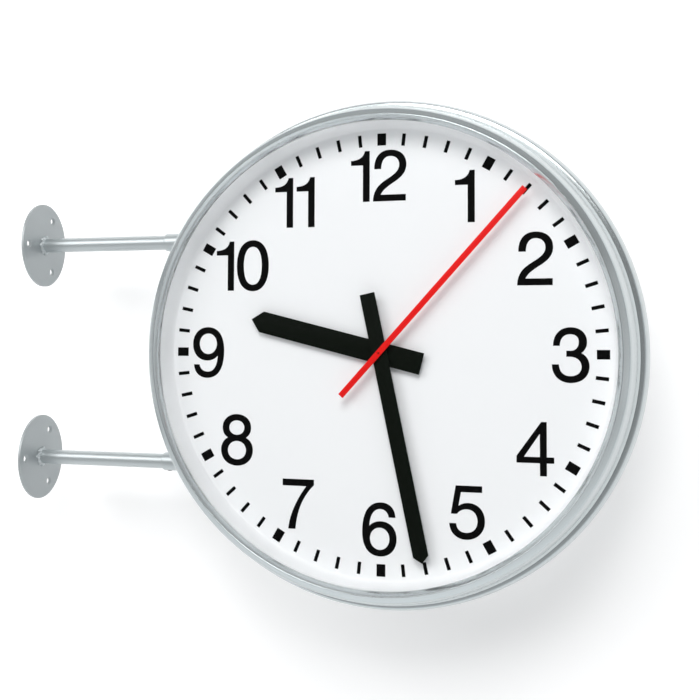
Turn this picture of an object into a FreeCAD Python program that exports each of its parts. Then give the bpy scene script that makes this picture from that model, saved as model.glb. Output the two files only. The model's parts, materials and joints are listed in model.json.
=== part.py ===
"""Double sided station clock on two wall arms.

Two identical clock faces stand back to back on one centre ring.  Two horizontal
tubes, each welded to a round wall flange, screw into sockets at the ring's side.
Frame: +X points away from the wall, +Z up, the front dial faces -Y.  The origin is
the centre of the upper wall flange's back face.  Millimetres.
"""

import FreeCAD
import Part
import math
import os

# ---------------------------------------------------------------- driving dimensions
REACH = 345.0                # wall face to the clock's axis
ARM_SPACING = 205.0          # between the two tubes' axes

RING_HALF = 14.0             # half the width of the centre ring's rounded rim
RIM_EDGE_R = 219.0           # centre ring: radius where the rounded rim meets its shoulders
RIM_CROWN = 4.4              # how far the rim bulges at its middle
RIM_FLAT = 5.0               # half width of the rim's flat crown
NECK_END = 27.0              # from the middle plane to the end of the neck under each bezel
RING_BORE_R = 209.5

BEZEL_DEPTH = 47.5           # middle plane to the bezel's front crest
BEZEL_REAR = 17.0            # middle plane to the bezel's rear rim
BEZEL_REAR_R = 216.5
CREST_R = 203.8
CROWN_MIDDLE = (208.1, 45.4)  # radius and depth halfway round the crown
SIDE_START = 41.2            # middle plane to where the crown meets the side
SIDE_START_R = 210.2
SIGHT_R = 200.0              # visible opening: a 400 mm dial
BEZEL_WALL = 2.6

PANE_T = 3.0
PANE_R = 205.0
PANE_FRONT = 42.0            # middle plane to the pane's front face

DIAL_FACE = 17.5             # middle plane to the dial's printed face
DIAL_T = 1.2
DIAL_RIM_R = 201.0           # outside of the dial's raised rim, which meets the pane

CASE_W = 56.0                # movement case, as seen from the front
CASE_UP = 28.0
CASE_DOWN = 33.0
CASE_WALL = 1.3
CASE_BACK = 0.5              # middle plane to the back of the movement's cover
BUSH_R = 6.0
BATTERY_R = 7.1
BATTERY_LEN = 49.5

SECOND_R = 1.0               # second arbor
MINUTE_R = 2.6               # minute tube
HOUR_R = 4.2                 # hour tube
ARBOR_R = 1.0                # stub arbor of the motion wheel
ARBOR_DEPTH = 4.0
RUN_FIT = 0.06               # radial clearance of one tube in the next

HOUR_HAND = dict(tail=37.6, shoulder=112.4, tip=122.1, width=19.0, low=22.0, thick=1.0)
MINUTE_HAND = dict(tail=52.6, shoulder=175.6, tip=181.6, width=13.4, low=25.0, thick=1.0)
SECOND_HAND = dict(tail=50.4, shoulder=187.0, tip=187.0, width=5.2, low=28.0, thick=0.8)
HOUR_ANGLE = 284.0           # clockwise from twelve: the time shown is 9:28:07
MINUTE_ANGLE = 168.0
SECOND_ANGLE = 42.0

TUBE_R = 6.75
TUBE_WALL = 1.5
FLANGE_R = 40.0
FLANGE_T = 2.0
SCREW_PCD = 58.0
SCREW_HOLE_R = 2.4
SCREW_SINK_R = 4.0
SOCKET_R = 8.2
SOCKET_OUT = 212.5           # clock axis to the socket's outer end, measured along X
SOCKET_IN = 180.0            # and to its inner end, inside the ring
SOCKET_DEPTH = 16.0          # how far the tube sits in the socket
CLAMP_FROM_MOUTH = 5.5       # the socket's outer end to the grub screw's axis

PINION_TEETH = 8
MOTION_TEETH = 24
HOUR_TEETH = 32
MOTION_MODULE = 0.9          # minute pinion with motion wheel

FRONT, REAR = "front", "rear"
AXIS_Z = -ARM_SPACING / 2

# ---------------------------------------------------------------- derived places
RIM_R = RIM_EDGE_R + RIM_CROWN
TAPER = (BEZEL_REAR_R - SIDE_START_R) / (SIDE_START - BEZEL_REAR)
NECK_GAP = 0.2                                        # slip of the bezel on the neck
CASE_FRONT = DIAL_FACE - DIAL_T                       # the case lies against the dial's back
ROOM_FRONT = CASE_FRONT - CASE_WALL                   # inside of the case's front wall
ROOM_BACK = CASE_BACK + CASE_WALL                     # inside of the cover
BAY_TOP = -15.3                                       # partition above the battery bay
BATTERY_Z = -CASE_DOWN + CASE_WALL + BATTERY_R        # the cell lies on the bay's floor

UNIT_FRONT = 8.0                                      # front of the sealed drive unit
MOTION_WHEEL = (UNIT_FRONT, 2.0)                      # each wheel's rear face and thickness
HOUR_WHEEL = (12.0, 2.0)
HOUR_MODULE = MOTION_MODULE * (PINION_TEETH + MOTION_TEETH) / (PINION_TEETH + HOUR_TEETH)
MOTION_CENTRE = MOTION_MODULE * (PINION_TEETH + MOTION_TEETH) / 2
MOTION_ANGLE = 45.0                                   # where the motion arbor lies, from twelve


# ---------------------------------------------------------------- shaping and placing
def bezel_inner(depth):
    """Radius of the bezel's inside wall at a depth from the middle plane."""
    return BEZEL_REAR_R - BEZEL_WALL - TAPER * (depth - BEZEL_REAR)


def at_angle(radius, angle):
    """Point on the face, clockwise from twelve, as x and z."""
    turn = math.radians(angle)
    return radius * math.sin(turn), radius * math.cos(turn)


def turned(outline):
    """Ring turned about the clock's axis from (radius, depth) points."""
    points = [FreeCAD.Vector(radius, -depth, 0) for radius, depth in outline]
    face = Part.Face(Part.makePolygon(points + points[:1]))
    return face.revolve(FreeCAD.Vector(0, 0, 0), FreeCAD.Vector(0, 1, 0), 360)


def disc(radius, back, thick, x=0.0, z=0.0):
    """Cylinder along the clock's axis, from its rear face forwards."""
    return Part.makeCylinder(radius, thick, FreeCAD.Vector(x, -back, z), FreeCAD.Vector(0, -1, 0))


def block(x, z, depth):
    """Box between two x, two z and two depths."""
    corner = FreeCAD.Vector(x[0], -depth[1], z[0])
    return Part.makeBox(x[1] - x[0], depth[1] - depth[0], z[1] - z[0], corner)


def sheet(points, back, thick):
    """Flat plate of an outline in x and z, from its rear face forwards."""
    corners = [FreeCAD.Vector(x, -back, z) for x, z in points]
    face = Part.Face(Part.makePolygon(corners + corners[:1]))
    return face.extrude(FreeCAD.Vector(0, -thick, 0))


def turn_on_face(shape, angle, x=0.0, z=0.0):
    """Turn a shape clockwise about an axis parallel to the clock's."""
    shape.rotate(FreeCAD.Vector(x, 0, z), FreeCAD.Vector(0, 1, 0), angle)
    return shape


def gear(teeth, module, wheel, angle, x=0.0, z=0.0):
    """Spur gear with one tooth pointing at the angle: straight flanks that meet at the root."""
    tip = module * (teeth / 2 + 0.7)
    root = module * (teeth / 2 - 1.0)
    pitch = 360.0 / teeth
    tip_half = math.degrees(0.2 * module / tip)
    points = []
    for tooth in range(teeth):
        middle = tooth * pitch
        points += [at_angle(tip, middle - tip_half), at_angle(tip, middle + tip_half),
                   at_angle(root, middle + pitch / 2)]
    shape = turn_on_face(sheet(points, wheel[0], wheel[1]), angle)
    shape.translate(FreeCAD.Vector(x, 0, z))
    return shape


def gap_towards(teeth, angle):
    """Angle of a tooth beside the gap that faces the given angle."""
    return angle + 180.0 / teeth


def place(shape, side):
    """Put a shape made about the clock's own centre on its side of the clock."""
    shape = shape.copy()
    if side == REAR:
        shape.rotate(FreeCAD.Vector(0, 0, 0), FreeCAD.Vector(0, 0, 1), 180)
    shape.translate(FreeCAD.Vector(REACH, 0, AXIS_Z))
    return shape


# ---------------------------------------------------------------- the case
def bezel():
    """Aluminium frame: a bevelled lip over the pane, a rounded crown and a tapered side."""
    return turned([
        (SIGHT_R, PANE_FRONT),
        (CREST_R, BEZEL_DEPTH),
        CROWN_MIDDLE,
        (SIDE_START_R, SIDE_START),
        (BEZEL_REAR_R, BEZEL_REAR),
        (bezel_inner(BEZEL_REAR), BEZEL_REAR),
        (bezel_inner(PANE_FRONT), PANE_FRONT),
    ])


def pane():
    """Clear acrylic disc behind the bezel's lip."""
    return disc(PANE_R, PANE_FRONT - PANE_T, PANE_T)


def dial():
    """Aluminium dial pressed as a shallow pan, its rim against the pane."""
    back = DIAL_FACE - DIAL_T
    rim = PANE_FRONT - PANE_T
    return turned([
        (BUSH_R + 0.1, back),
        (BUSH_R + 0.1, DIAL_FACE),
        (DIAL_RIM_R - DIAL_T, DIAL_FACE),
        (DIAL_RIM_R - DIAL_T, rim),
        (DIAL_RIM_R, rim),
        (DIAL_RIM_R, back),
    ])


def socket_blank(radius, outer, inner, z):
    """Cylinder along X at an arm's height, outwards to the left of the clock's axis."""
    return Part.makeCylinder(radius, outer - inner, FreeCAD.Vector(-outer, 0, z), FreeCAD.Vector(1, 0, 0))


def arm_heights():
    return {"upper": ARM_SPACING / 2, "lower": -ARM_SPACING / 2}


def centre_ring():
    """Rolled aluminium ring: rounded rim, two tapered necks and two holes for the sockets."""
    shoulder = bezel_inner(RING_HALF) - NECK_GAP
    neck = bezel_inner(NECK_END) - NECK_GAP
    ring = turned([
        (RING_BORE_R, -NECK_END),
        (neck, -NECK_END),
        (shoulder, -RING_HALF),
        (RIM_EDGE_R, -RING_HALF),
        (RIM_R, -RIM_FLAT),
        (RIM_R, RIM_FLAT),
        (RIM_EDGE_R, RING_HALF),
        (shoulder, RING_HALF),
        (neck, NECK_END),
        (RING_BORE_R, NECK_END),
    ])
    for z in arm_heights().values():
        ring = ring.cut(socket_blank(SOCKET_R + NECK_GAP, SOCKET_OUT, SOCKET_IN, z))
    return ring


def dial_brackets():
    """Four sheet brackets inside the ring that hold the two dials apart."""
    half, gauge, reach = 10.0, 1.5, 24.0
    outer = math.sqrt(RING_BORE_R ** 2 - half ** 2) - 0.2
    deep = DIAL_FACE - DIAL_T
    body = block((-half, half), (outer - reach, outer), (-deep, deep))
    hollow = block((-half, half), (outer - reach, outer - gauge), (gauge - deep, deep - gauge))
    bracket = body.cut(hollow)
    return Part.makeCompound([turn_on_face(bracket.copy(), angle) for angle in (45, 135, 225, 315)])


def bezel_clips():
    """Three angle clips that hook over the neck's end and hold the bezel."""
    half, gauge = 6.0, 1.2
    outer = math.sqrt(RING_BORE_R ** 2 - half ** 2) - 0.2
    tip = bezel_inner(NECK_END + gauge) - 0.2
    base = block((-half, half), (outer - gauge, outer), (DIAL_FACE + 1.0, NECK_END + gauge))
    hook = block((-half, half), (outer - gauge, tip), (NECK_END, NECK_END + gauge))
    clip = base.fuse(hook).removeSplitter()
    return Part.makeCompound([turn_on_face(clip.copy(), angle) for angle in (30, 150, 270)])


# ---------------------------------------------------------------- the wall arms
def socket(z):
    """Turned socket let into the ring, with a screw hole underneath."""
    body = socket_blank(SOCKET_R, SOCKET_OUT, SOCKET_IN, z)
    body = body.cut(socket_blank(TUBE_R, SOCKET_OUT, SOCKET_OUT - SOCKET_DEPTH, z))
    return body.cut(set_screw(z))


def set_screw(z):
    """Grub screw under the socket that clamps the tube."""
    foot = z - TUBE_R
    length = SOCKET_R + 0.6 - TUBE_R
    start = FreeCAD.Vector(-SOCKET_OUT + CLAMP_FROM_MOUTH, 0, foot)
    return Part.makeCylinder(2.0, length, start, FreeCAD.Vector(0, 0, -1))


def arm_tube(z):
    """Round tube from the wall flange's face into the socket."""
    outer, inner = REACH - FLANGE_T, SOCKET_OUT - SOCKET_DEPTH
    return socket_blank(TUBE_R, outer, inner, z).cut(socket_blank(TUBE_R - TUBE_WALL, outer, inner, z))


def wall_flange(z):
    """Round wall plate with three countersunk holes, one of them towards the front."""
    plate = socket_blank(FLANGE_R, REACH, REACH - FLANGE_T, z)
    for angle in (180, 300, 60):
        y = SCREW_PCD / 2 * math.cos(math.radians(angle))
        up = SCREW_PCD / 2 * math.sin(math.radians(angle))
        back = FreeCAD.Vector(-REACH, y, z + up)
        plate = plate.cut(Part.makeCylinder(SCREW_HOLE_R, FLANGE_T, back, FreeCAD.Vector(1, 0, 0)))
        sink = SCREW_SINK_R - SCREW_HOLE_R
        throat = back + FreeCAD.Vector(FLANGE_T - sink, 0, 0)
        cone = Part.makeCone(SCREW_HOLE_R, SCREW_SINK_R, sink, throat, FreeCAD.Vector(1, 0, 0))
        plate = plate.cut(cone)
    return plate


# ---------------------------------------------------------------- one movement
def movement_case():
    """Moulded case: gear room above, battery bay below, threaded bush through the dial."""
    half = CASE_W / 2
    inner = half - CASE_WALL
    case = block((-half, half), (-CASE_DOWN, CASE_UP), (ROOM_BACK, CASE_FRONT))
    room = block((-inner, inner), (BAY_TOP, CASE_UP - CASE_WALL), (ROOM_BACK, ROOM_FRONT))
    bay = block((-inner, inner), (CASE_WALL - CASE_DOWN, BAY_TOP - CASE_WALL), (ROOM_BACK, ROOM_FRONT))
    bush = disc(BUSH_R, ROOM_FRONT, CASE_WALL + DIAL_T + 2.8)
    bore = disc(HOUR_R + RUN_FIT, ROOM_FRONT, CASE_WALL + DIAL_T + 2.8)
    return case.cut(room).cut(bay).fuse(bush).cut(bore).removeSplitter()


def movement_cover():
    """Flat cover behind the gear room; the battery bay stays open."""
    half = CASE_W / 2
    return block((-half, half), (BAY_TOP - CASE_WALL, CASE_UP), (CASE_BACK, ROOM_BACK))


def dial_nut():
    """Hexagon nut on the bush, against the dial's face."""
    across = 16.0
    points = [at_angle(across / math.sqrt(3), 60 * corner) for corner in range(6)]
    nut = sheet(points, DIAL_FACE, 2.3)
    return nut.cut(disc(BUSH_R + 0.03, DIAL_FACE, 2.3))


def battery():
    """Round cell lying in the bay against the case's front wall."""
    start = FreeCAD.Vector(-BATTERY_LEN / 2, BATTERY_R - ROOM_FRONT, BATTERY_Z)
    return Part.makeCylinder(BATTERY_R, BATTERY_LEN, start, FreeCAD.Vector(1, 0, 0))


def battery_contacts():
    """Two folded leaf contacts, one at each end of the cell."""
    inner, outer = BATTERY_LEN / 2, CASE_W / 2 - CASE_WALL
    high = (BATTERY_Z - 4.0, BATTERY_Z + 4.0)
    deep = (ROOM_FRONT - 12.0, ROOM_FRONT - 3.0)
    return Part.makeCompound([block((inner, outer), high, deep), block((-outer, -inner), high, deep)])


def drive_unit():
    """Sealed block with the motors and their trains; the motion wheel turns in its face."""
    edge = CASE_W / 2 - CASE_WALL
    unit = block((-edge, edge), (BAY_TOP, CASE_UP - CASE_WALL), (ROOM_BACK, UNIT_FRONT))
    x, z = at_angle(MOTION_CENTRE, MOTION_ANGLE)
    return unit.cut(disc(ARBOR_R + RUN_FIT, UNIT_FRONT - ARBOR_DEPTH, ARBOR_DEPTH, x, z))


def second_arbor():
    """Thin arbor from the drive unit's face that carries the second hand."""
    return disc(SECOND_R, UNIT_FRONT, SECOND_HAND["low"] + SECOND_HAND["thick"] - UNIT_FRONT)


def minute_pinion():
    """Pinion on the drive unit's face, with the tube that carries the minute hand."""
    length = MINUTE_HAND["low"] + MINUTE_HAND["thick"] - UNIT_FRONT
    pinion = gear(PINION_TEETH, MOTION_MODULE, (UNIT_FRONT, MOTION_WHEEL[1]), MOTION_ANGLE)
    tube = disc(MINUTE_R, UNIT_FRONT, length)
    return pinion.fuse(tube).cut(disc(SECOND_R + RUN_FIT, UNIT_FRONT, length))


def hour_wheel():
    """Wheel on the outer tube that carries the hour hand."""
    length = HOUR_HAND["low"] + HOUR_HAND["thick"] - HOUR_WHEEL[0]
    wheel = gear(HOUR_TEETH, HOUR_MODULE, HOUR_WHEEL, gap_towards(HOUR_TEETH, MOTION_ANGLE))
    tube = disc(HOUR_R, HOUR_WHEEL[0], length)
    return wheel.fuse(tube).cut(disc(MINUTE_R + RUN_FIT, HOUR_WHEEL[0], length))


def motion_wheel():
    """Wheel with a pinion and a stub arbor, between the minute pinion and the hour wheel."""
    x, z = at_angle(MOTION_CENTRE, MOTION_ANGLE)
    back = MOTION_ANGLE + 180
    front = MOTION_WHEEL[0] + MOTION_WHEEL[1]
    long = HOUR_WHEEL[0] + HOUR_WHEEL[1] - front
    arbor = disc(ARBOR_R, MOTION_WHEEL[0] - ARBOR_DEPTH, ARBOR_DEPTH, x, z)
    wheel = gear(MOTION_TEETH, MOTION_MODULE, MOTION_WHEEL, gap_towards(MOTION_TEETH, back), x, z)
    pinion = gear(PINION_TEETH, HOUR_MODULE, (front, long), back, x, z)
    return wheel.fuse(pinion).fuse(arbor)


def hand(sizes, bore, angle):
    """Flat hand with a square tail, pointed where the tip lies past the shoulders."""
    half = sizes["width"] / 2
    points = [(-half, -sizes["tail"]), (half, -sizes["tail"]), (half, sizes["shoulder"])]
    if sizes["tip"] > sizes["shoulder"]:
        points.append((0.0, sizes["tip"]))
    points.append((-half, sizes["shoulder"]))
    bar = sheet(points, sizes["low"], sizes["thick"])
    return turn_on_face(bar.cut(disc(bore, sizes["low"], sizes["thick"])), angle)


# ---------------------------------------------------------------- put together
def clock_side():
    """Every piece that the front and the rear of the clock both have."""
    return {
        "bezel": bezel(),
        "bezel_clips": bezel_clips(),
        "pane": pane(),
        "dial": dial(),
        "movement_case": movement_case(),
        "movement_cover": movement_cover(),
        "dial_nut": dial_nut(),
        "battery": battery(),
        "battery_contacts": battery_contacts(),
        "drive_unit": drive_unit(),
        "second_arbor": second_arbor(),
        "minute_pinion": minute_pinion(),
        "motion_wheel": motion_wheel(),
        "hour_wheel": hour_wheel(),
        "hour_hand": hand(HOUR_HAND, HOUR_R, HOUR_ANGLE),
        "minute_hand": hand(MINUTE_HAND, MINUTE_R, MINUTE_ANGLE),
        "second_hand": hand(SECOND_HAND, SECOND_R, SECOND_ANGLE),
    }


def main():
    os.makedirs("parts", exist_ok=True)
    nodes = {"centre_ring": place(centre_ring(), FRONT), "dial_brackets": place(dial_brackets(), FRONT)}
    heights = arm_heights()
    nodes["arm_sockets"] = place(Part.makeCompound([socket(z) for z in heights.values()]), FRONT)
    nodes["set_screws"] = place(Part.makeCompound([set_screw(z) for z in heights.values()]), FRONT)
    for name, z in heights.items():
        nodes[name + "_arm_tube"] = place(arm_tube(z), FRONT)
        nodes[name + "_wall_flange"] = place(wall_flange(z), FRONT)
    pieces = clock_side()
    for side in (FRONT, REAR):
        for name, shape in pieces.items():
            nodes[side + "_" + name] = place(shape, side)
    for name, shape in nodes.items():
        if not shape.isValid():
            raise ValueError(name + " is not a valid solid")
        shape.exportStep("parts/" + name + ".step")
    print(len(nodes), "pieces")


main()
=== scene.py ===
"""Double sided station clock on two wall arms: the looks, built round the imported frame."""

import json
from math import atan2, cos, pi, radians, sin

import bmesh
import bpy
from mathutils import Matrix, Vector

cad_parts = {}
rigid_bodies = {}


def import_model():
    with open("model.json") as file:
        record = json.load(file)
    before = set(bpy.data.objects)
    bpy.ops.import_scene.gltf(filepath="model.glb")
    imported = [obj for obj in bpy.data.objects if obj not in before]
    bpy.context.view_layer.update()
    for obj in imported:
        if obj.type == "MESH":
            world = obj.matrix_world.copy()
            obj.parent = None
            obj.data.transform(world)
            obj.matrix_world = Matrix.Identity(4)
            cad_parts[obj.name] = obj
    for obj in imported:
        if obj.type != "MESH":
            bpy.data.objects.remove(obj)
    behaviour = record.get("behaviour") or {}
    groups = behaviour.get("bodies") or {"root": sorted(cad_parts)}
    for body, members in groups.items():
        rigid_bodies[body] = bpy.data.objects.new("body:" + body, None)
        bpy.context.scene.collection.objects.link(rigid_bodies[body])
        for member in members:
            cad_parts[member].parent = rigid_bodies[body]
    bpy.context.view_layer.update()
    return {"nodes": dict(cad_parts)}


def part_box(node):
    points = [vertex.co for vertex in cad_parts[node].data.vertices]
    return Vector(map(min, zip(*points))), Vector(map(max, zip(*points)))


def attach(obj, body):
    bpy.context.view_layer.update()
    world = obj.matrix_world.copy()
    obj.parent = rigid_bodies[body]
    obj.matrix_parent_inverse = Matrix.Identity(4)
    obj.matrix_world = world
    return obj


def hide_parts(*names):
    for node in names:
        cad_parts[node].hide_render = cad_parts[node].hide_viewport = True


for thing in list(bpy.data.objects):
    bpy.data.objects.remove(thing)
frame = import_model()

# ---- Centre ring.  A rolled aluminium hoop, painted silver grey, that joins the two halves.
# Its rim bulges a little between two dark grooves, and the wall sockets sit in it.
MM = 0.001
ring_low, ring_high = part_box("centre_ring")
CLOCK = (Vector(ring_low) + Vector(ring_high)) / 2
# pieces are drawn face up in millimetres, x to the right and y to the top of the dial and z
# from the clock's middle plane towards the viewer, and then stood up on their side
STAND_UP = Matrix.Translation(CLOCK) @ Matrix.Rotation(radians(90), 4, "X") @ Matrix.Scale(MM, 4)
TURN_ROUND = Matrix.Translation(CLOCK) @ Matrix.Rotation(pi, 4, "Z") @ Matrix.Translation(-CLOCK)
SIDES = {"front": STAND_UP, "rear": TURN_ROUND @ STAND_UP}


def painted(name, colour, roughness, metallic=0.0, sheen=0.5):
    """One plain finish: a colour, how matt it is, how metallic, and how much its face mirrors."""
    material = bpy.data.materials.new(name)
    material.use_nodes = True
    shader = material.node_tree.nodes["Principled BSDF"]
    shader.inputs["Base Color"].default_value = (*colour, 1.0)
    shader.inputs["Roughness"].default_value = roughness
    shader.inputs["Metallic"].default_value = metallic
    shader.inputs["Specular IOR Level"].default_value = sheen
    return material


def finished(name, shape, place, material, body, replaced=(), sharp=30.0):
    """Makes a piece of a bmesh, puts it in place and hands it to its body.  It is shaded
    smooth, apart from edges that turn by more than `sharp` degrees."""
    bmesh.ops.transform(shape, matrix=place, verts=shape.verts)
    bmesh.ops.recalc_face_normals(shape, faces=shape.faces)
    mesh = bpy.data.meshes.new(name)
    shape.to_mesh(mesh)
    shape.free()
    for face in mesh.polygons:
        face.use_smooth = True
    mesh.set_sharp_from_angle(angle=radians(sharp))
    mesh.materials.append(material)
    piece = bpy.data.objects.new(name, mesh)
    bpy.context.scene.collection.objects.link(piece)
    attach(piece, body)
    if replaced:
        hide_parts(*replaced)


SAME_SPOT = 1e-4
NEAR_RIM = 1e-3


def turned(outline, steps, rounded=()):
    """Turns a closed (radius, height) outline about z, then rounds the corners that are named
    by their number in the outline, with a width each."""
    shape = bmesh.new()
    corners = [shape.verts.new((radius, 0, height)) for radius, height in outline]
    edges = [shape.edges.new((a, b)) for a, b in zip(corners, corners[1:] + corners[:1])]
    bmesh.ops.spin(shape, geom=corners + edges, cent=(0, 0, 0), axis=(0, 0, 1),
                   angle=2 * pi, steps=steps, use_merge=True)
    bmesh.ops.remove_doubles(shape, verts=shape.verts, dist=SAME_SPOT)
    for number, width in rounded:
        radius, height = outline[number]
        rim = [edge for edge in shape.edges
               if all(abs(v.co.z - height) < NEAR_RIM and abs(v.co.xy.length - radius) < NEAR_RIM
                      for v in edge.verts)]
        bmesh.ops.bevel(shape, geom=rim, offset=width, segments=6, profile=0.5,
                        affect="EDGES", material=-1)
    return shape


SILVER = painted("silver_grey_paint", (0.57, 0.615, 0.625), roughness=0.22, metallic=0.8)
RING_BORE = 209.5
RING_WIDTH = 28.0
RIM_EDGE = 219.0
RIM_BULGE = 4.4
BULGE_STEPS = 8
NECK_END = 27.0
NECK = [(211.3, NECK_END), (214.4, RING_WIDTH / 2)]
bulge = [(RIM_EDGE + RIM_BULGE * cos(pi / 2 * step / BULGE_STEPS),
          RING_WIDTH / 2 * sin(pi / 2 * step / BULGE_STEPS))
         for step in range(BULGE_STEPS, -BULGE_STEPS - 1, -1)]
far_neck = [(radius, -height) for radius, height in reversed(NECK)]
ring_outline = [(RING_BORE, NECK_END)] + NECK + bulge + far_neck + [(RING_BORE, -NECK_END)]
finished("ring", turned(ring_outline, steps=256), STAND_UP, SILVER,
         "clock_body", ["centre_ring"], sharp=40)

# ---- Bezels.  A spun aluminium frame on each side holds the pane: a bright bevel inside, a
# rounded crown and a side that widens to a bead at the ring.  It slips on the ring's neck.
SIGHT = 200.0
LIP = 42.0
CREST = 47.6
BEAD_EDGE = 17.0
# the lip, the bevel up to the crest, the side down to the bead at the edge, and the inner wall
bezel_outline = [
    (SIGHT, LIP), (SIGHT, 42.6), (203.8, CREST), (210.2, 43.6), (214.3, 25.4), (214.0, 24.2),
    (216.2, 21.6), (216.5, BEAD_EDGE), (213.9, BEAD_EDGE), (207.4, LIP),
]
bezel_rounding = [(2, 0.6), (3, 2.0), (4, 0.6), (6, 0.9), (7, 0.6)]
for side, place in SIDES.items():
    frame_of_side = turned(bezel_outline, steps=256, rounded=bezel_rounding)
    finished(side + "_frame", frame_of_side, place, SILVER,
             "clock_body", [side + "_bezel"], sharp=50)

# ---- Panes.  A clear disc behind each bezel's lip, 3 mm thick and almost free of reflections.
CLEAR = painted("clear_pane", (0.02, 0.02, 0.02), roughness=0.02)
CLEAR.node_tree.nodes["Principled BSDF"].inputs["Alpha"].default_value = 0.02
PANE_RADIUS = 205.0
PANE_THICK = 3.0
PANE_BACK = LIP - PANE_THICK
pane_outline = [(0.0, LIP), (PANE_RADIUS, LIP), (PANE_RADIUS, PANE_BACK), (0.0, PANE_BACK)]
for side, place in SIDES.items():
    finished(side + "_glazing", turned(pane_outline, steps=96), place, CLEAR,
             "clock_body", [side + "_pane"])

# ---- Dials.  Sheet aluminium painted matt white, pressed as a shallow dish whose hollow rim
# sweeps up to the pane outside the minute marks.
WHITE = painted("dial_white", (0.93, 0.945, 0.955), roughness=0.5)
DIAL_FACE = 17.5
DIAL_BACK = 16.3
HUB_HOLE = 6.1
FLAT_RADIUS = 195.5
RIM_RADIUS = 200.2
SWEEP_STEPS = 12
FOLD_RADIUS = 203.5
FOLD_BACK = PANE_BACK - 1.0
BACK_RADIUS = 201.0
sweep = [(FLAT_RADIUS + (RIM_RADIUS - FLAT_RADIUS) * sin(pi / 2 * step / SWEEP_STEPS),
          DIAL_FACE + (PANE_BACK - DIAL_FACE) * (1 - cos(pi / 2 * step / SWEEP_STEPS)))
         for step in range(SWEEP_STEPS + 1)]
folded_edge = [(FOLD_RADIUS, PANE_BACK), (FOLD_RADIUS, FOLD_BACK),
               (BACK_RADIUS, FOLD_BACK), (BACK_RADIUS, DIAL_BACK)]
dial_outline = [(HUB_HOLE, DIAL_BACK), (HUB_HOLE, DIAL_FACE)] + sweep + folded_edge
for side, place in SIDES.items():
    finished(side + "_face", turned(dial_outline, steps=192), place, WHITE,
             "clock_body", [side + "_dial"], sharp=50)

# ---- Minute marks.  Sixty bars screen printed in black just inside the dial's rim, all of
# one length and every fifth one broad.
BLACK = painted("printed_black", (0.002, 0.002, 0.002), roughness=0.6, sheen=0.03)
INK = 0.12
MARK_RADIUS = 187.0
MARK_LENGTH = 10.6
MINUTE_WIDTH, HOUR_WIDTH = 3.1, 7.8
for side, place in SIDES.items():
    marks = bmesh.new()
    for minute in range(60):
        width = MINUTE_WIDTH if minute % 5 else HOUR_WIDTH
        spot = (Matrix.Rotation(radians(6 * minute), 4, "Z")
                @ Matrix.Translation((0, MARK_RADIUS, DIAL_FACE + INK / 2))
                @ Matrix.Diagonal((width, MARK_LENGTH, INK, 1)))
        bmesh.ops.create_cube(marks, size=1.0, matrix=spot)
    finished(side + "_minute_marks", marks, place, BLACK, "clock_body")

# ---- Hour numbers.  Plain upright figures, screen printed in black.  Each figure is drawn in
# thousandths of its height, with its width first and then its outlines, the holes last.
FIGURE_HEIGHT = 43.9
UNIT = FIGURE_HEIGHT / 1000
# from the left of a 1 to the left of the figure after it
ONE_ADVANCE = 460
# how far the ink spreads past the drawn line
INK_SPREAD = 0.45
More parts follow.
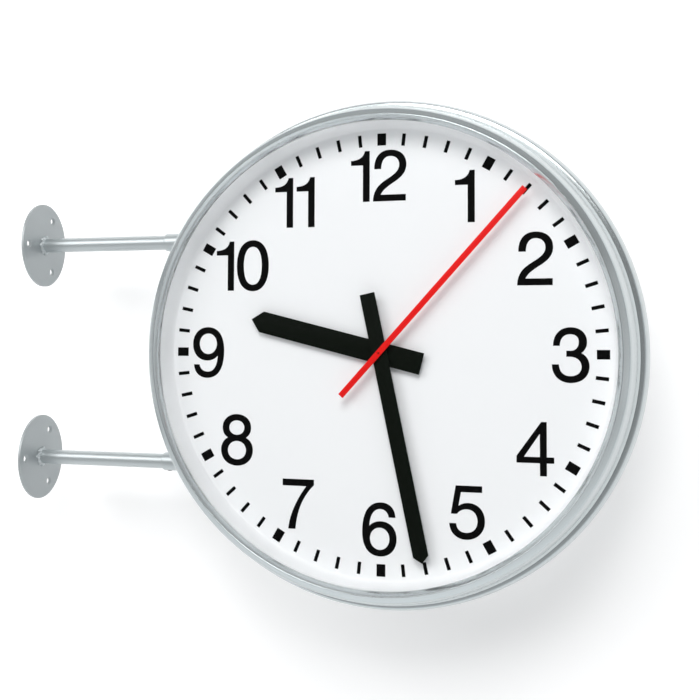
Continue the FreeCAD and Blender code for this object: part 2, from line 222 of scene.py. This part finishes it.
# a pair is the end of a straight stretch, and six numbers are a curve's two handles and end
FIGURES = {
    "0": (676, [
        [(334, 1017), (545, 1017, 672, 830, 672, 501), (672, 172, 545, -15, 334, -15),
         (122, -15, -5, 172, -5, 501), (-5, 830, 122, 1017, 334, 1017)],
        [(334, 901), (465, 901, 541, 760, 541, 500), (541, 240, 465, 99, 334, 99),
         (203, 99, 126, 240, 126, 500), (126, 760, 203, 901, 334, 901)]]),
    "1": (371, [
        [(4, 812), (4, 735), (253, 735), (253, 0), (371, 0), (371, 1000), (290, 1000),
         (262, 880, 165, 815, 4, 812)]]),
    "2": (660, [
        [(0, 0), (649, 0), (649, 109), (130, 109), (174, 203, 227, 250, 357, 339),
         (510, 433, 660, 522, 660, 717), (660, 900, 528, 1006, 339, 1006),
         (132, 1006, 24, 864, 26, 646), (148, 646), (150, 799, 215, 900, 339, 900),
         (463, 900, 536, 823, 536, 713), (536, 569, 404, 498, 274, 416),
         (120, 321, 14, 227, 0, 0)]]),
    "3": (677, [
        [(28, 684), (35, 890, 160, 1014, 342, 1014), (515, 1014, 633, 910, 633, 750),
         (633, 650, 590, 580, 517, 536), (620, 495, 677, 405, 677, 289),
         (677, 110, 540, -15, 340, -15), (140, -15, 10, 115, 4, 313), (116, 313),
         (122, 180, 205, 94, 335, 94), (465, 94, 552, 170, 552, 280),
         (552, 405, 455, 480, 320, 480), (272, 480), (272, 571), (340, 571),
         (440, 571, 503, 640, 503, 750), (503, 845, 440, 903, 335, 903),
         (215, 903, 140, 820, 133, 684)]]),
    "4": (683, [
        [(0, 242), (438, 242), (438, 0), (547, 0), (547, 242), (683, 242), (683, 336),
         (547, 336), (547, 1000), (459, 1000), (0, 358)],
        [(438, 336), (109, 336), (438, 820)]]),
    "5": (671, [
        [(34, 470), (126, 993), (618, 993), (618, 889), (210, 889), (157, 589),
         (215, 640, 285, 665, 366, 665), (540, 665, 671, 530, 671, 335),
         (671, 130, 520, -18, 315, -18), (140, -18, 14, 95, 3, 269), (117, 269),
         (125, 160, 205, 94, 315, 94), (455, 94, 548, 190, 548, 332),
         (548, 470, 460, 564, 332, 564), (250, 564, 185, 530, 136, 470)]]),
    "6": (675, [
        [(535, 750), (515, 850, 450, 908, 356, 908), (220, 908, 130, 780, 121, 530),
         (180, 610, 270, 649, 370, 649), (550, 649, 675, 520, 675, 327),
         (675, 125, 545, -17, 352, -17), (120, -17, 0, 150, 0, 452),
         (0, 820, 135, 1017, 369, 1017), (530, 1017, 640, 920, 650, 750)],
        [(345, 544), (460, 544, 551, 450, 551, 320), (551, 190, 460, 91, 345, 91),
         (230, 91, 138, 190, 138, 320), (138, 450, 230, 544, 345, 544)]]),
    "7": (649, [
        [(7, 868), (7, 982), (649, 982), (649, 886), (500, 740, 400, 570, 340, 390),
         (300, 265, 275, 130, 264, 7), (133, 7), (150, 150, 190, 290, 255, 430),
         (325, 590, 420, 740, 520, 868)]]),
    "8": (672, [
        [(328, 1015), (500, 1015, 630, 910, 630, 753), (630, 650, 580, 580, 503, 546),
         (610, 505, 672, 410, 672, 298), (672, 110, 530, -17, 332, -17),
         (135, -17, -4, 110, -4, 298), (-4, 410, 55, 505, 160, 546),
         (75, 580, 27, 650, 27, 753), (27, 910, 160, 1015, 328, 1015)],
        [(328, 907), (430, 907, 503, 840, 503, 752), (503, 660, 430, 592, 328, 592),
         (226, 592, 153, 660, 153, 752), (153, 840, 226, 907, 328, 907)],
        [(333, 487), (450, 487, 542, 400, 542, 290), (542, 175, 450, 91, 333, 91),
         (216, 91, 125, 175, 125, 290), (125, 400, 216, 487, 333, 487)]]),
    "9": (675, [
        [(129, 240), (150, 150, 220, 91, 325, 91), (470, 91, 545, 220, 556, 463),
         (500, 385, 410, 341, 311, 341), (125, 341, 0, 475, 0, 677),
         (0, 875, 130, 1014, 325, 1014), (540, 1014, 675, 850, 675, 537),
         (675, 170, 545, -17, 311, -17), (150, -17, 40, 80, 24, 240)],
        [(331, 902), (445, 902, 533, 805, 533, 680), (533, 555, 445, 456, 331, 456),
         (217, 456, 129, 555, 129, 680), (129, 805, 217, 902, 331, 902)]]),
}
# centre of each hour's number on the dial
HOURS = {
    12: (-3.0, 155.0), 1: (73.0, 134.5), 2: (132.0, 80.0), 3: (160.5, -0.5),
    4: (131.5, -78.5), 5: (74.5, -133.5), 6: (-1.5, -152.0), 7: (-75.5, -133.5),
    8: (-133.5, -79.0), 9: (-162.0, -0.5), 10: (-129.5, 78.0), 11: (-80.0, 134.0),
}


def draw_figure(curve, stretches, left, bottom, scale, hole):
    """Adds one closed outline of a figure to a flat curve, clockwise unless it is a hole."""
    spots = [Vector(stretch[-2:]) for stretch in stretches]
    before = [None] * len(spots)
    after = [None] * len(spots)
    for number, stretch in enumerate(stretches):
        if len(stretch) == 6:
            after[number - 1] = Vector(stretch[0:2])
            before[number] = Vector(stretch[2:4])
    # an outline whose last stretch comes back to its first point has that point once
    if (spots[0] - spots[-1]).length < 1:
        before[0] = before[-1]
        spots, before, after = spots[:-1], before[:-1], after[:-1]
    area = sum(a.x * b.y - b.x * a.y for a, b in zip(spots, spots[1:] + spots[:1]))
    if (area > 0) != hole:
        spots, before, after = spots[::-1], after[::-1], before[::-1]
    shift = Vector((left, bottom))
    spline = curve.splines.new("BEZIER")
    spline.bezier_points.add(len(spots) - 1)
    spline.use_cyclic_u = True
    for point, spot, near, far in zip(spline.bezier_points, spots, before, after):
        point.co = (*(spot * scale + shift), 0)
        point.handle_left_type = "FREE" if near else "VECTOR"
        point.handle_right_type = "FREE" if far else "VECTOR"
        point.handle_left = (*((near or spot) * scale + shift), 0)
        point.handle_right = (*((far or spot) * scale + shift), 0)


numbers = bpy.data.curves.new("hour_numbers", "CURVE")
numbers.dimensions = "2D"
numbers.fill_mode = "BOTH"
numbers.extrude = INK / 2
numbers.offset = INK_SPREAD
numbers.resolution_u = 12
for hour, (middle, height) in HOURS.items():
    digits = str(hour)
    last_width = FIGURES[digits[-1]][0]
    whole_width = ONE_ADVANCE * (len(digits) - 1) + last_width
    bottom = height - FIGURE_HEIGHT / 2
    for position, digit in enumerate(digits):
        left = middle + (ONE_ADVANCE * position - whole_width / 2) * UNIT
        for number, stretches in enumerate(FIGURES[digit][1]):
            draw_figure(numbers, stretches, left, bottom, UNIT, hole=number > 0)
drawing = bpy.data.objects.new("hour_numbers", numbers)
bpy.context.scene.collection.objects.link(drawing)
drawn = drawing.evaluated_get(bpy.context.evaluated_depsgraph_get())
printed = bpy.data.meshes.new_from_object(drawn)
bpy.data.objects.remove(drawing)
on_dial = Matrix.Translation((0, 0, DIAL_FACE + INK / 2))
for side, place in SIDES.items():
    shape = bmesh.new()
    shape.from_mesh(printed)
    bmesh.ops.remove_doubles(shape, verts=shape.verts, dist=SAME_SPOT)
    finished(side + "_numbers", shape, place @ on_dial, BLACK, "clock_body")

# ---- Hands.  Flat aluminium blades with square tails, the hour and minute hands matt black
# with a blunt point, the second hand narrow and red.  Each is pressed on its own tube.
HAND_BLACK = painted("hand_black", (0.004, 0.006, 0.004), roughness=0.5, sheen=0.03)
HAND_RED = painted("hand_red", (0.80, 0.012, 0.010), roughness=0.45, sheen=0.1)
HAND_EDGE = 0.15
# lengths from the axis to the tail, the shoulders and the tip, then the width, the height of
# the blade's back, its thickness and its angle clockwise from twelve
HANDS = {
    "hour": (37.6, 112.4, 122.1, 19.0, 22.0, 1.0, 284.0, HAND_BLACK, "hand_black"),
    "minute": (52.6, 175.6, 181.6, 13.4, 25.0, 1.0, 168.0, HAND_BLACK, "hand_black"),
    "second": (50.4, 187.0, 187.0, 5.2, 28.0, 0.8, 42.0, HAND_RED, "hand_red"),
}
for side, place in SIDES.items():
    for kind, (tail, shoulder, tip, width, low, thick, angle, material, slot) in HANDS.items():
        shape = bmesh.new()
        corners = [(-width / 2, -tail), (width / 2, -tail), (width / 2, shoulder)]
        if tip > shoulder:
            corners.append((0, tip))
        corners.append((-width / 2, shoulder))
        blade = shape.faces.new([shape.verts.new((x, y, low)) for x, y in corners])
        grown = bmesh.ops.extrude_face_region(shape, geom=[blade])["geom"]
        top = [item for item in grown if isinstance(item, bmesh.types.BMVert)]
        bmesh.ops.translate(shape, vec=(0, 0, thick), verts=top)
        bmesh.ops.bevel(shape, geom=shape.edges, offset=HAND_EDGE, segments=2, profile=0.5,
                        affect="EDGES", material=-1)
        turn = Matrix.Rotation(radians(-angle), 4, "Z")
        finished(side + "_" + kind + "_blade", shape, place @ turn, material,
                 side + "_" + kind + "_train", [side + "_" + kind + "_hand"], sharp=25)

# ---- Wall arms.  A steel tube welded to a round plate at the wall end and pushed into a
# turned socket in the ring, where a grub screw underneath holds it.
TUBE = 6.75
TUBE_BORE = 5.25
PLATE_THICK = 2.0
SOCKET = 8.2
# how far the socket reaches back over the tube, and on past the tube's end into the ring
SOCKET_OVER = 16.0
SOCKET_BEYOND = 20.0
# the weld's outline from the tube's skin and the plate, and its two rows of lumps as how many
# go round, how large they are and where they start
WELD = [(-0.3, 0.0), (2.0, 0.0), (1.9, 0.9), (1.2, 1.8), (-0.3, 2.4)]
LUMPS = [(7, 0.6, 0.0), (11, 0.45, 1.0)]
LUMP_SPREAD = 14.0
LUMP_RISE = 0.25
ARM_SILVER = painted("arm_silver_paint", (0.52, 0.56, 0.57), roughness=0.36, metallic=0.65)
sockets = bmesh.new()
for arm in ("upper", "lower"):
    low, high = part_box(arm + "_arm_tube")
    start, end = low[0] / MM, high[0] / MM
    level = (Vector(low) + Vector(high)) / 2
    along = (Matrix.Translation((0, level.y, level.z)) @ Matrix.Rotation(radians(90), 4, "Y")
             @ Matrix.Scale(MM, 4))
    tube = turned([(TUBE, start), (TUBE, end), (TUBE_BORE, end), (TUBE_BORE, start)], steps=64)
    finished(arm + "_tube", tube, along, ARM_SILVER, "clock_body",
             [arm + "_arm_tube"])

    # the weld is a lumpy bead round the tube's foot
    bead = turned([(TUBE + out, PLATE_THICK + up) for out, up in WELD], steps=96)
    for vert in bead.verts:
        round_way = atan2(vert.co.y, vert.co.x)
        lump = sum(size * sin(count * round_way + begin) for count, size, begin in LUMPS)
        away = max(vert.co.xy.length - TUBE, 0)
        vert.co.xy *= 1 + lump * away / LUMP_SPREAD
        vert.co.z += LUMP_RISE * lump * (vert.co.z - PLATE_THICK)
    finished(arm + "_weld", bead, along, ARM_SILVER, "clock_body", sharp=60)

    mouth, inner = end - SOCKET_OVER, end + SOCKET_BEYOND
    socket = turned([(SOCKET, mouth), (SOCKET, inner), (TUBE, inner), (TUBE, mouth)], steps=64,
                    rounded=[(0, 0.9)])
    bmesh.ops.transform(socket, verts=socket.verts, matrix=along)
    socket_mesh = bpy.data.meshes.new("socket")
    socket.to_mesh(socket_mesh)
    socket.free()
    sockets.from_mesh(socket_mesh)
    bpy.data.meshes.remove(socket_mesh)
finished("sockets", sockets, Matrix.Identity(4), ARM_SILVER, "clock_body",
         ["arm_sockets"])

# ---- Wall plates and what stays as the frame has it.  The plates are sheared steel discs with
# three countersunk holes; the screws and the movements only take their finish here.
# the plates wear the arms' silver paint made darker and less metallic, as painted shade on the
# plates
PLATE_SILVER_SHADED = painted("plate_silver_paint_shaded", (0.42, 0.45, 0.46), roughness=0.42, metallic=0.5)
STEEL = painted("zinc_plated_steel", (0.55, 0.55, 0.54), roughness=0.35, metallic=0.9)
DARK = painted("moulded_black", (0.02, 0.02, 0.022), roughness=0.55)
MOULDED = painted("moulded_white", (0.75, 0.75, 0.71), roughness=0.5)
for name, node in frame["nodes"].items():
    if name.endswith("_wall_flange"):
        finish = PLATE_SILVER_SHADED
    elif name.endswith(("_clips", "_brackets", "_contacts", "_arbor", "_screws")):
        finish = STEEL
    elif name.endswith(("_motion_wheel", "_hour_wheel")):
        finish = MOULDED
    else:
        finish = DARK
    node.data.materials.clear()
    node.data.materials.append(finish)

# ---- The studio.  A white wall behind the clock takes its soft shadow.  The room is dark in
# front and pale behind and below.  One soft box hangs above the clock, a larger one at its
# upper left and a weak one at its right, and the last lights the rear dial.


def worked_out(tree, operation, first, second):
    """The outcome of a Math node for two sockets, or for a socket and a number."""
    node = tree.nodes.new("ShaderNodeMath")
    node.operation = operation
    for socket, value in zip(node.inputs, (first, second)):
        if isinstance(value, float):
            socket.default_value = value
        else:
            tree.links.new(value, socket)
    return node.outputs[0]


def ramped(tree, value, ends, curve):
    """The outcome of a Map Range node, from its first two ends to its last two."""
    node = tree.nodes.new("ShaderNodeMapRange")
    node.interpolation_type = curve
    for socket, end in zip(("From Min", "From Max", "To Min", "To Max"), ends):
        node.inputs[socket].default_value = end
    tree.links.new(value, node.inputs["Value"])
    return node.outputs["Result"]


WALL_WHITE = (0.82, 0.82, 0.82, 1)
WALL_GLOW = 0.32
WALL_BEHIND = 0.085
WALL_HALF = 3.0
wall_finish = bpy.data.materials.new("studio_white")
wall_finish.use_nodes = True
tree = wall_finish.node_tree
tree.nodes.clear()
output = tree.nodes.new("ShaderNodeOutputMaterial")
rays = tree.nodes.new("ShaderNodeLightPath").outputs
paint = tree.nodes.new("ShaderNodeBsdfDiffuse")
paint.inputs["Color"].default_value = WALL_WHITE
glow = tree.nodes.new("ShaderNodeEmission")
seen = worked_out(tree, "MAXIMUM", rays["Is Camera Ray"], rays["Is Glossy Ray"])
seen = worked_out(tree, "MAXIMUM", seen, rays["Is Transmission Ray"])
tree.links.new(worked_out(tree, "MULTIPLY", seen, WALL_GLOW), glow.inputs["Strength"])
lit = tree.nodes.new("ShaderNodeAddShader")
tree.links.new(paint.outputs[0], lit.inputs[0])
tree.links.new(glow.outputs[0], lit.inputs[1])
# from behind, the wall is left out, and it doesn't keep the light off the rear dial
back = tree.nodes.new("ShaderNodeNewGeometry").outputs["Backfacing"]
left_out = worked_out(tree, "MAXIMUM", back, rays["Is Diffuse Ray"])
left_out = worked_out(tree, "MAXIMUM", left_out, rays["Is Shadow Ray"])
gone = tree.nodes.new("ShaderNodeBsdfTransparent")
pick = tree.nodes.new("ShaderNodeMixShader")
tree.links.new(left_out, pick.inputs[0])
tree.links.new(lit.outputs[0], pick.inputs[1])
tree.links.new(gone.outputs[0], pick.inputs[2])
tree.links.new(pick.outputs[0], output.inputs["Surface"])

upright = Matrix.Translation((CLOCK.x, WALL_BEHIND, 0)) @ Matrix.Rotation(radians(90), 4, "X")
plaster = bmesh.new()
bmesh.ops.create_grid(plaster, x_segments=1, y_segments=1, size=WALL_HALF, matrix=upright)
sheet = bpy.data.meshes.new("studio_wall")
plaster.to_mesh(sheet)
plaster.free()
sheet.materials.append(wall_finish)
wall = bpy.data.objects.new("studio_wall", sheet)
bpy.context.scene.collection.objects.link(wall)

# the room's strength by direction, for the light that it gives; it is seen as plain white
FRONT_DARK = (-0.95, -0.1, 0.08, 0.4)
FLOOR_PALE = (0.2, -0.9, 0.0, 0.75)
world = bpy.data.worlds.new("studio")
bpy.context.scene.world = world
world.use_nodes = True
tree = world.node_tree
background = tree.nodes["Background"]
background.inputs["Color"].default_value = (0.97, 0.985, 1.0, 1)
direction = tree.nodes.new("ShaderNodeSeparateXYZ")
tree.links.new(tree.nodes.new("ShaderNodeTexCoord").outputs["Generated"], direction.inputs[0])
front = ramped(tree, direction.outputs["Y"], FRONT_DARK, "SMOOTHSTEP")
floor = ramped(tree, direction.outputs["Z"], FLOOR_PALE, "LINEAR")
room = worked_out(tree, "ADD", front, floor)
room_rays = tree.nodes.new("ShaderNodeLightPath").outputs
room = worked_out(tree, "MAXIMUM", room, room_rays["Is Camera Ray"])
tree.links.new(room, background.inputs["Strength"])

LIT_SPOT = Vector((0.35, 0, -0.1))


def lamp(name, spot, size, power):
    """A square soft box at a spot, aimed at the clock."""
    light = bpy.data.lights.new(name, "AREA")
    light.size = size
    light.energy = power
    box = bpy.data.objects.new(name, light)
    box.location = spot
    box.rotation_euler = (LIT_SPOT - Vector(spot)).to_track_quat("-Z", "Y").to_euler()
    bpy.context.scene.collection.objects.link(box)


lamp("key_box", spot=(0.5, -2.0, 1.45), size=1.2, power=39.0)
lamp("left_box", spot=(-1.5, -2.3, 1.2), size=1.8, power=32.0)
lamp("right_box", spot=(2.3, -1.1, 0.1), size=1.4, power=1.5)
lamp("rear_box", spot=(-1.2, 2.3, 1.0), size=1.6, power=36.0)

# ---- Camera.  It stands a metre in front of the dial, to the right of the clock's axis and
# level with it, and its shift puts the clock where the photograph has it.
EYE_SPOT = (0.5941, -1.0161, -0.0968)
FRAME_SHIFT = 0.0857
eye = bpy.data.cameras.new("camera")
eye.sensor_width = 36.0
eye.lens = 60.63
eye.shift_x = FRAME_SHIFT
eye.shift_y = -FRAME_SHIFT
camera = bpy.data.objects.new("camera", eye)
right = Vector((0.94869, 0.31616, 0.00556))
down = Vector((-0.00974, 0.04678, -0.99886))
forward = right.cross(down)
turned_to_clock = Matrix((right, -down, -forward)).transposed().to_4x4()
camera.matrix_world = Matrix.Translation(EYE_SPOT) @ turned_to_clock
bpy.context.scene.collection.objects.link(camera)
bpy.context.scene.camera = camera
bpy.context.scene.view_settings.view_transform = "Standard"
